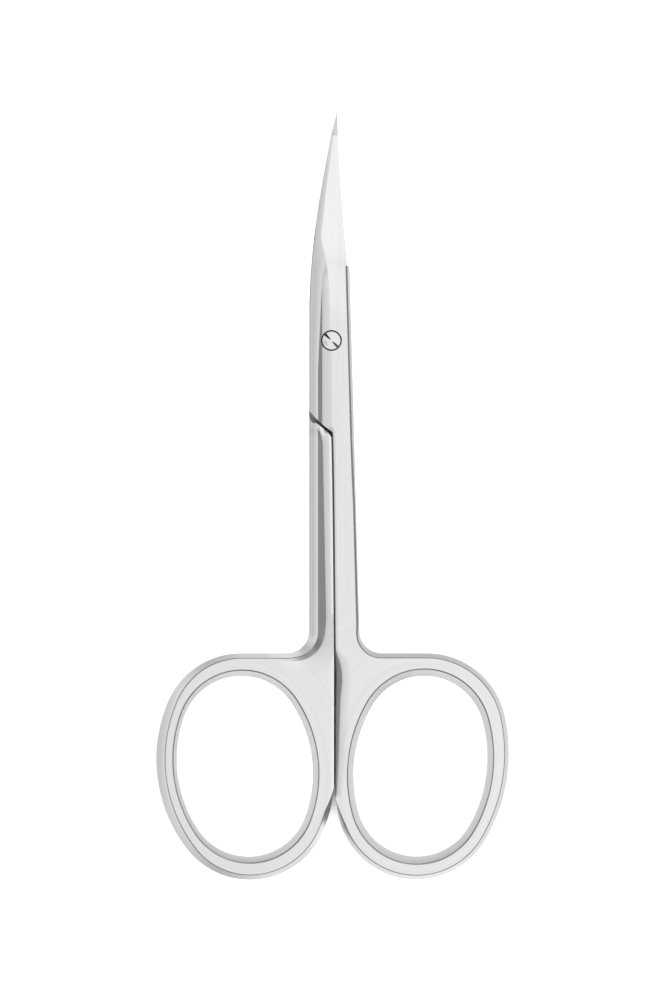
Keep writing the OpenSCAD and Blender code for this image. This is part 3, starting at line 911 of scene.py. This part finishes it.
class Screw:
    """The pivot screw: slotted head, smooth bearing and threaded end, in millimetres."""

    def __init__(self, size, screw):
        self.k = screw
        self.radius = screw.head_d / 2
        self.top_z = size.thickness - screw.head_recess
        self.seat = (size.thickness - size.lap_gap) / 2

    def along(self, x, y):
        """Places along and across the slot."""
        c, s = math.cos(self.k.slot_angle), math.sin(self.k.slot_angle)
        return x * c + y * s, -x * s + y * c

    def slot_half(self, run):
        return mix(self.k.slot_waist, self.k.slot_w, np.abs(run) / (0.8 * self.radius)) / 2

    def head(self, x, y):
        k = self.k
        r = np.hypot(x, y)
        rim = [(k.head_chamfer, 0.3, 2.0)]
        dome = k.head_dome * np.clip(r / self.radius, 0, 1) ** 2
        return self.top_z - dome - drop(self.radius - r, rim)

    def top(self, x, y, zone):
        if zone == 0:
            return self.head(x, y)
        run, _ = self.along(x, y)
        rise = self.k.slot_rise * (1 - smooth(0.1, 0.75, np.abs(run) / self.radius))
        return np.minimum(self.top_z - self.k.slot_depth + rise, self.head(x, y) - 0.02)

    def top_zone(self, x, y):
        run, side = self.along(x, y)
        return (np.abs(side) < self.slot_half(run)).astype(int)

    # Painted shade in the slot and at the head's rim, and a darker spot on the head, from 0 to 1

    def slot_grime(self, x, y):
        run, _ = self.along(x, y)
        far = np.abs(run) / self.radius
        return smooth(0.08, 0.3, far) * mix(0.95, 0.8, run)

    def grime(self, side, zone, x, y):
        if side == "bottom":
            return np.zeros(len(x))
        if zone == 1:
            return self.slot_grime(x, y)
        # A darker spot left of the slot, drawn out along it, and painted shade at the head's rim
        dark_spot = np.hypot((x + y + 1.26) / 0.45, (x - y + 0.54) / 0.9)
        rim = smooth(self.radius - 0.09, self.radius - 0.05, np.hypot(x, y))
        return np.maximum(rim, 0.3 * (1 - smooth(0.3, 1, dark_spot)))

    # Painted shade on the head's side wall and in the slot
    def wall_grime(self, x, y):
        return np.where(np.hypot(x, y) > self.radius - 0.02, 1.0, self.slot_grime(x, y))

    def bottom(self, x, y, zone):
        k = self.k
        if zone == 0:
            return self.top_z - k.head_h + 0 * x
        if zone == 1:
            return self.seat + 0 * x
        chamfer = [flat(THREAD_CHAMFER, 1.0)]
        return k.thread_recess + drop(k.thread_d / 2 - np.hypot(x, y), chamfer)

    def bottom_zone(self, x, y):
        r = np.hypot(x, y)
        return (r < self.k.bearing_d / 2).astype(int) + (r < self.k.thread_d / 2)

    def curves(self):
        k = self.k
        rims = [0, k.head_chamfer / 2, k.head_chamfer, 0.3, 0.5, 0.7, 0.95]
        found = [circle(self.radius - rim) for rim in rims]
        thread = k.thread_d / 2
        found += [circle(r) for r in (k.bearing_d / 2, thread, thread - THREAD_CHAMFER)]
        runs = steps(-1.2 * self.radius, 1.2 * self.radius, 0.06)
        c, s = math.cos(k.slot_angle), math.sin(k.slot_angle)
        for side in (-1, 1):
            half = side * self.slot_half(runs)
            found.append(np.stack((runs * c - half * s, runs * s + half * c), 1))
        return found

    def kept(self, x, y):
        return np.hypot(x, y) < self.radius

    def across(self, x, y):
        return np.hypot(x, y)

    def placed(self, points, turned):
        return points


class Solid:
    """Closed mesh between an upper and a lower face that are given as heights."""

    def __init__(self, form):
        self.form = form
        self.points = []
        self.faces = []
        self.normals = []
        self.marks = []
        self.lapped = []
        self.numbers = {}
        self.cut()
        self.top_zone = self.face(form.top, form.top_zone, "top")
        self.bottom_zone = self.face(form.bottom, form.bottom_zone, "bottom")
        self.walls()

    def cut(self):
        """Cuts the plane along the form's curves and keeps what is steel."""
        curves = self.form.curves()
        if hasattr(self.form, "outline"):
            outline = self.form.outline()
            curves.append(np.concatenate([outline, outline[:1]]))
        points, edges = [], []
        for curve in curves:
            first = len(points)
            points.extend((float(x), float(y)) for x, y in curve)
            edges.extend((first + i, first + i + 1) for i in range(len(curve) - 1))
        found, _, triangles, _, _, _ = delaunay_2d_cdt(points, edges, [], 0, WELD, False)
        self.flat = np.array([tuple(p) for p in found])
        corners = np.array(triangles)
        a, b, c = (self.flat[corners[:, i]] for i in range(3))
        u, v = b - a, c - a
        area = u[:, 0] * v[:, 1] - u[:, 1] * v[:, 0]
        corners[area < 0] = corners[area < 0][:, ::-1]
        middle = (a + b + c) / 3
        kept = self.form.kept(middle[:, 0], middle[:, 1]) & (np.abs(area) > 1e-9)
        self.corners, self.middle = corners[kept], middle[kept]

    def face(self, height, zone_of, side):
        """Takes in one face, with the slope at each corner, and gives its triangles' zones."""
        zones = zone_of(self.middle[:, 0], self.middle[:, 1])
        up = 1 if side == "top" else -1
        order = slice(None, None, up)
        h = SLOPE_STEP
        for zone in sorted(set(zones.tolist())):
            picked = self.corners[zones == zone]
            used = np.unique(picked)
            x, y = self.flat[used].T
            first = len(self.points)
            self.points.extend(zip(x, y, height(x, y, zone)))
            self.numbers.update({(side, zone, int(p)): first + i for i, p in enumerate(used)})
            lookup = np.zeros(len(self.flat), int)
            lookup[used] = first + np.arange(len(used))
            spots = self.flat[picked]
            inward = self.middle[zones == zone][:, None, :] - spots
            far = np.linalg.norm(inward, axis=2, keepdims=True)
            spots = spots + inward * np.minimum(0.3, NUDGE / np.maximum(far, 1e-9))
            x, y = spots.reshape(-1, 2).T
            # Painted shade at each corner of the face
            marks = self.form.grime(side, zone, x, y).reshape(-1, 3)
            slope_x = (height(x + h, y, zone) - height(x - h, y, zone)) / (2 * h)
            slope_y = (height(x, y + h, zone) - height(x, y - h, zone)) / (2 * h)
            normal = np.stack((-slope_x, -slope_y, np.ones(len(x))), 1) * up
            normal /= np.linalg.norm(normal, axis=1, keepdims=True)
            self.faces.extend(tuple(t) for t in lookup[picked][:, order].tolist())
            self.normals.extend(n[order] for n in normal.reshape(-1, 3, 3))
            self.marks.extend(marks[:, order].ravel())
            lapped = side == "bottom" and zone == 1
            self.lapped.extend([int(lapped)] * len(picked))
        return zones

    def walls(self):
        """Joins both faces round the outline, and the zones of one face with each other."""
        owner = {}
        for t, (a, b, c) in enumerate(self.corners.tolist()):
            for edge in ((a, b), (b, c), (c, a)):
                owner[edge] = t
        rim, step_top, step_bottom = [], [], []
        for (a, b), t in owner.items():
            other = owner.get((b, a))
            top, bottom = ("top", int(self.top_zone[t])), ("bottom", int(self.bottom_zone[t]))
            if other is None:
                rim.append((a, b, bottom, top))
                continue
            next_top = ("top", int(self.top_zone[other]))
            next_bottom = ("bottom", int(self.bottom_zone[other]))
            if next_top != top and self.level(top, a) > self.level(next_top, a):
                step_top.append((a, b, next_top, top))
            if next_bottom != bottom and self.level(bottom, a) < self.level(next_bottom, a):
                step_bottom.append((a, b, bottom, next_bottom))
        for edges in (rim, step_top, step_bottom):
            self.wall(edges)

    def level(self, face, point):
        return self.points[self.numbers[(*face, point)]][2]

    def wall(self, edges):
        """Upright faces along directed edges, with the steel on their left."""
        outward, starts, ends = {}, {}, {}
        for a, b, _, _ in edges:
            run = self.flat[b] - self.flat[a]
            outward[a, b] = np.array((run[1], -run[0])) / max(np.hypot(*run), 1e-9)
            starts[a] = (a, b)
            ends[b] = (a, b)
        for a, b, low, high in edges:
            here = outward[a, b]
            turned = []
            for neighbour in (ends.get(a), starts.get(b)):
                there = outward[neighbour] if neighbour else here
                both = here + there if here @ there > WALL_CREASE else here
                turned.append((*(both / np.hypot(*both)), 0.0))
            quad = (self.numbers[(*low, a)], self.numbers[(*low, b)])
            self.faces.append(quad + (self.numbers[(*high, b)], self.numbers[(*high, a)]))
            self.normals.append([turned[0], turned[1], turned[1], turned[0]])
            # Painted shade on the walls
            first, last = self.form.wall_grime(*self.flat[[a, b]].T)
            self.marks.extend((first, last, last, first))
            self.lapped.append(0)

    def piece(self, name, materials):
        """Makes the object in metres, with each corner's own direction for its gloss."""
        mesh = bpy.data.meshes.new(name)
        points = np.array(self.points)
        across = self.form.across(points[:, 0], points[:, 1])
        mesh.from_pydata((self.form.placed(points, False) * MM).tolist(), [], self.faces)
        mesh.polygons.foreach_set("material_index", self.lapped)
        mesh.polygons.foreach_set("use_smooth", [True] * len(self.faces))
        mesh.attributes.new("across", "FLOAT", "POINT").data.foreach_set("value", across)
        # Painted shade at each corner, which darkens the steel's colour
        mesh.attributes.new("grime", "FLOAT", "CORNER").data.foreach_set("value", self.marks)
        normals = np.concatenate([np.array(n, float) for n in self.normals])
        mesh.normals_split_custom_set(self.form.placed(normals, True).tolist())
        for material in materials:
            mesh.materials.append(material)
        made = bpy.data.objects.new(name, mesh)
        bpy.context.scene.collection.objects.link(made)
        return made


# Materials


class Value:
    """A shader socket that takes part in Python expressions."""

    def __init__(self, graph, socket):
        self.graph, self.socket = graph, socket

    def math(self, operation, *others):
        inputs = dict(enumerate((self, *others)))
        return self.graph.value("ShaderNodeMath", 0, {"operation": operation}, inputs)

    def __add__(self, other):
        return self.math("ADD", other)

    def __sub__(self, other):
        return self.math("SUBTRACT", other)

    def __mul__(self, other):
        return self.math("MULTIPLY", other)

    def __rsub__(self, other):
        return self.math("MULTIPLY", -1.0) + other

    __radd__ = __add__
    __rmul__ = __mul__


class Graph:
    """The nodes of one material or world."""

    def __init__(self, owner):
        owner.use_nodes = True
        self.tree = owner.node_tree
        self.tree.nodes.clear()

    def node(self, kind, settings=None, inputs=None):
        """Adds a node: its settings first, then the values or links of its sockets."""
        made = self.tree.nodes.new(kind)
        for name, value in (settings or {}).items():
            if name == "stops":
                self.stops(made.color_ramp.elements, value)
            else:
                setattr(made, name, value)
        for name, value in (inputs or {}).items():
            if isinstance(value, Value):
                self.tree.links.new(value.socket, made.inputs[name])
            else:
                made.inputs[name].default_value = value
        return made

    def stops(self, elements, stops):
        """Sets a ramp's stops, each a place and a tone."""
        elements.remove(elements[1])
        elements[0].position = stops[0][0]
        for place, _ in stops[1:]:
            elements.new(place)
        for element, (_, tone) in zip(elements, stops):
            element.color = (tone, tone, tone, 1)

    def value(self, kind, output, settings=None, inputs=None):
        """Adds a node and gives one of its outputs."""
        return Value(self, self.node(kind, settings, inputs).outputs[output])

    def tone(self, place, stops):
        """Tone along a ramp with the given stops."""
        return self.value("ShaderNodeValToRGB", 0, {"stops": stops}, {0: place})

    def noise(self, vector, scale, detail=2.0, roughness=0.5):
        inputs = {"Vector": vector, "Scale": scale, "Detail": detail, "Roughness": roughness}
        return self.value("ShaderNodeTexNoise", "Fac", {}, inputs)

    def between(self, factor, one, other):
        """Colour between two others."""
        inputs = {0: factor}
        for socket, tone in ((6, one), (7, other)):
            inputs[socket] = tone if isinstance(tone, Value) else (*tone, 1)
        return self.value("ShaderNodeMix", 2, {"data_type": "RGBA"}, inputs)

    def vector(self, *parts):
        return self.value("ShaderNodeCombineXYZ", 0, {}, dict(enumerate(parts)))

    def parts(self, vector):
        apart = self.node("ShaderNodeSeparateXYZ", {}, {0: vector})
        return [Value(self, output) for output in apart.outputs]


def steel(name, tone, roughness, finish):
    """Hand-polished stainless steel, with fine lines along the grinding."""
    material = bpy.data.materials.new(name)
    graph = Graph(material)
    across = graph.value("ShaderNodeAttribute", "Fac", {"attribute_name": "across"})
    place = graph.value("ShaderNodeTexCoord", "Object")
    x, y, z = graph.parts(place)
    lines = graph.noise(graph.vector(across * 14.0, x * 120.0, y * 90.0 + z * 300.0), 1.0, 3.0, 0.65)
    waves = graph.noise(graph.vector(across * 1.6, x * 40.0, y * 40.0), 1.0)
    specks = graph.noise(place, 9000.0, 2.0, 0.7)
    # Painted shade: darkens the colour towards black in the gaps, slot and pocket, and roughens the
    # steel a little there
    grime = graph.value("ShaderNodeAttribute", "Fac", {"attribute_name": "grime"})
    gloss = (lines - 0.5) * finish.streaks + (waves - 0.5) * (finish.streaks * 0.5)
    gloss = gloss + (specks - 0.5) * 0.04 + grime * 0.3 + roughness
    wear = graph.value(
        "ShaderNodeMapRange",
        0,
        {"interpolation_type": "SMOOTHSTEP"},
        {"Value": waves * 0.7 + specks * 0.3, "From Min": 0.25, "From Max": 0.8},
    )
    height = {"Strength": 0.12, "Distance": finish.grain * MM, "Height": lines + specks * 0.4}
    inputs = {
        "Base Color": graph.between(
            grime * finish.grime, graph.between(wear, tone, tuple(c * 0.94 for c in tone)), (0, 0, 0)
        ),
        "Metallic": 1.0,
        "Roughness": gloss,
        "Normal": graph.value("ShaderNodeBump", 0, {}, height),
    }
    shader = graph.value("ShaderNodeBsdfPrincipled", 0, {}, inputs)
    graph.node("ShaderNodeOutputMaterial", {}, {"Surface": shader})
    return material


def both_steels(name):
    """Polished steel for the outer faces and ground steel for the lapped ones."""
    finish = values(bpy.context.scene.scissors_finish)
    return [
        steel(name + "_polished", tuple(finish.steel), finish.roughness, finish),
        steel(name + "_lapped", tuple(finish.lapped), finish.lap_roughness, finish),
    ]


def dress_half(near, name, body):
    """Builds one half in place of its CAD node."""
    scene = bpy.context.scene
    groups = (scene.scissors_shape, scene.scissors_grind, scene.scissors_screw)
    form = Half(*(values(group) for group in groups), near)
    made = Solid(form).piece("dressed_" + name, both_steels(name))
    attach(made, body)
    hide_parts(name)


# Operators


class SCISSORS_OT_studio(bpy.types.Operator):
    """Build the camera, the floor and the soft light"""

    bl_idname = "scissors.studio"
    bl_label = "Studio"

    def execute(self, context):
        studio = values(context.scene.scissors_studio)
        self.add_camera(context, studio)
        self.add_floor(context, studio)
        self.add_light(context, studio)
        self.add_tent(context, studio)
        context.scene.view_settings.view_transform = "Standard"
        return {"FINISHED"}

    def add_camera(self, context, studio):
        lens = bpy.data.cameras.new("camera")
        lens.sensor_width = 36
        lens.lens = lens.sensor_width * studio.distance / studio.picture
        camera = bpy.data.objects.new("camera", lens)
        height = values(context.scene.scissors_shape).thickness + studio.distance
        camera.location = (studio.centre_x * MM, studio.centre_y * MM, height * MM)
        context.scene.collection.objects.link(camera)
        context.scene.camera = camera

    def add_floor(self, context, studio):
        mesh = bpy.data.meshes.new("floor")
        reach, level = 6.0, -0.0001
        corners = [(-reach, -reach), (reach, -reach), (reach, reach), (-reach, reach)]
        mesh.from_pydata([(x, y, level) for x, y in corners], [], [(0, 1, 2, 3)])
        material = bpy.data.materials.new("floor")
        graph = Graph(material)
        mottle = graph.noise(graph.value("ShaderNodeTexCoord", "Object"), 40.0, 3.0)
        tone = tuple(studio.floor)
        base = graph.between(mottle, tone, tuple(c * 0.985 for c in tone))
        inputs = {"Base Color": base, "Roughness": 0.9, "Specular IOR Level": 0.0}
        shader = graph.value("ShaderNodeBsdfPrincipled", 0, {}, inputs)
        graph.node("ShaderNodeOutputMaterial", {}, {"Surface": shader})
        mesh.materials.append(material)
        floor = bpy.data.objects.new("floor", mesh)
        context.scene.collection.objects.link(floor)

    def add_light(self, context, studio):
        lamp = bpy.data.lights.new("soft_light", "AREA")
        lamp.shape = "DISK"
        lamp.size = LAMP_SIZE
        lamp.energy = studio.fill
        light = bpy.data.objects.new("soft_light", lamp)
        light.location = (0, 0, LAMP_HEIGHT)
        light.visible_glossy = False
        light.visible_camera = False
        context.scene.collection.objects.link(light)

    def add_tent(self, context, studio):
        """Light tent: bright overhead, a little less to the left, with a dark band low down."""
        world = bpy.data.worlds.new("light_tent")
        graph = Graph(world)
        x, y, z = graph.parts(graph.value("ShaderNodeTexCoord", "Generated"))
        low = z.math("ARCCOSINE") * (2 / math.pi)
        across_stops = [((place + 1) / 2, tone / TENT_TOP) for place, tone in TENT_ACROSS]
        down_stops = [(angle / 90, tone) for angle, tone in TENT_DOWN]
        sides = graph.tone(x * 0.5 + 0.5, across_stops)
        sides = sides * graph.tone(y.math("ABSOLUTE"), TENT_ALONG)
        height = graph.tone(low, down_stops)
        below = {"Value": low, "From Min": TENT_EVEN[0] / 90, "From Max": TENT_EVEN[1] / 90}
        below = graph.value("ShaderNodeMapRange", 0, {}, below)
        # Below the dark band the tent has the same tone all round
        sides = sides + below * (1 / TENT_TOP - sides)
        inputs = {"Color": (1, 1, 1, 1), "Strength": sides * height * studio.tent}
        shader = graph.value("ShaderNodeBackground", 0, {}, inputs)
        graph.node("ShaderNodeOutputWorld", {}, {"Surface": shader})
        context.scene.world = world


class SCISSORS_OT_front_half(bpy.types.Operator):
    """Build the front half: blade, joint, right shank and right finger ring"""

    bl_idname = "scissors.front_half"
    bl_label = "Front half"

    def execute(self, context):
        dress_half(True, "front_half", "front")
        return {"FINISHED"}


class SCISSORS_OT_back_half(bpy.types.Operator):
    """Build the back half: blade, joint, left shank and left finger ring"""

    bl_idname = "scissors.back_half"
    bl_label = "Back half"

    def execute(self, context):
        dress_half(False, "back_half", "back")
        return {"FINISHED"}


class SCISSORS_OT_pivot_screw(bpy.types.Operator):
    """Build the slotted pivot screw"""

    bl_idname = "scissors.pivot_screw"
    bl_label = "Pivot screw"

    def execute(self, context):
        scene = context.scene
        form = Screw(values(scene.scissors_shape), values(scene.scissors_screw))
        made = Solid(form).piece("dressed_pivot_screw", both_steels("screw"))
        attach(made, "back")
        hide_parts("pivot_screw")
        return {"FINISHED"}


class SCISSORS_PT_panel(bpy.types.Panel):
    """Sizes, finish and buttons of the scissors"""

    bl_label = "Cuticle scissors"
    bl_space_type = "VIEW_3D"
    bl_region_type = "UI"
    bl_category = "Scissors"

    def draw(self, context):
        for name, group in GROUPS.items():
            box = self.layout.box()
            box.label(text=group.__doc__)
            for prop in group.__annotations__:
                box.prop(getattr(context.scene, name), prop)
        for operator in OPERATORS:
            self.layout.operator(operator.bl_idname)


GROUPS = {
    "scissors_shape": SCISSORS_PG_shape,
    "scissors_grind": SCISSORS_PG_grind,
    "scissors_screw": SCISSORS_PG_screw,
    "scissors_finish": SCISSORS_PG_finish,
    "scissors_studio": SCISSORS_PG_studio,
}
OPERATORS = (
    SCISSORS_OT_studio,
    SCISSORS_OT_front_half,
    SCISSORS_OT_back_half,
    SCISSORS_OT_pivot_screw,
)


def register():
    for made in (*GROUPS.values(), *OPERATORS, SCISSORS_PT_panel):
        bpy.utils.register_class(made)
    for name, group in GROUPS.items():
        setattr(bpy.types.Scene, name, PointerProperty(type=group))


def unregister():
    for name in GROUPS:
        delattr(bpy.types.Scene, name)
    for made in (SCISSORS_PT_panel, *OPERATORS, *GROUPS.values()):
        bpy.utils.unregister_class(made)


def main():
    register()
    bpy.ops.scissors.studio()
    bpy.ops.scissors.front_half()
    bpy.ops.scissors.back_half()
    bpy.ops.scissors.pivot_screw()


if __name__ == "__main__":
    main()
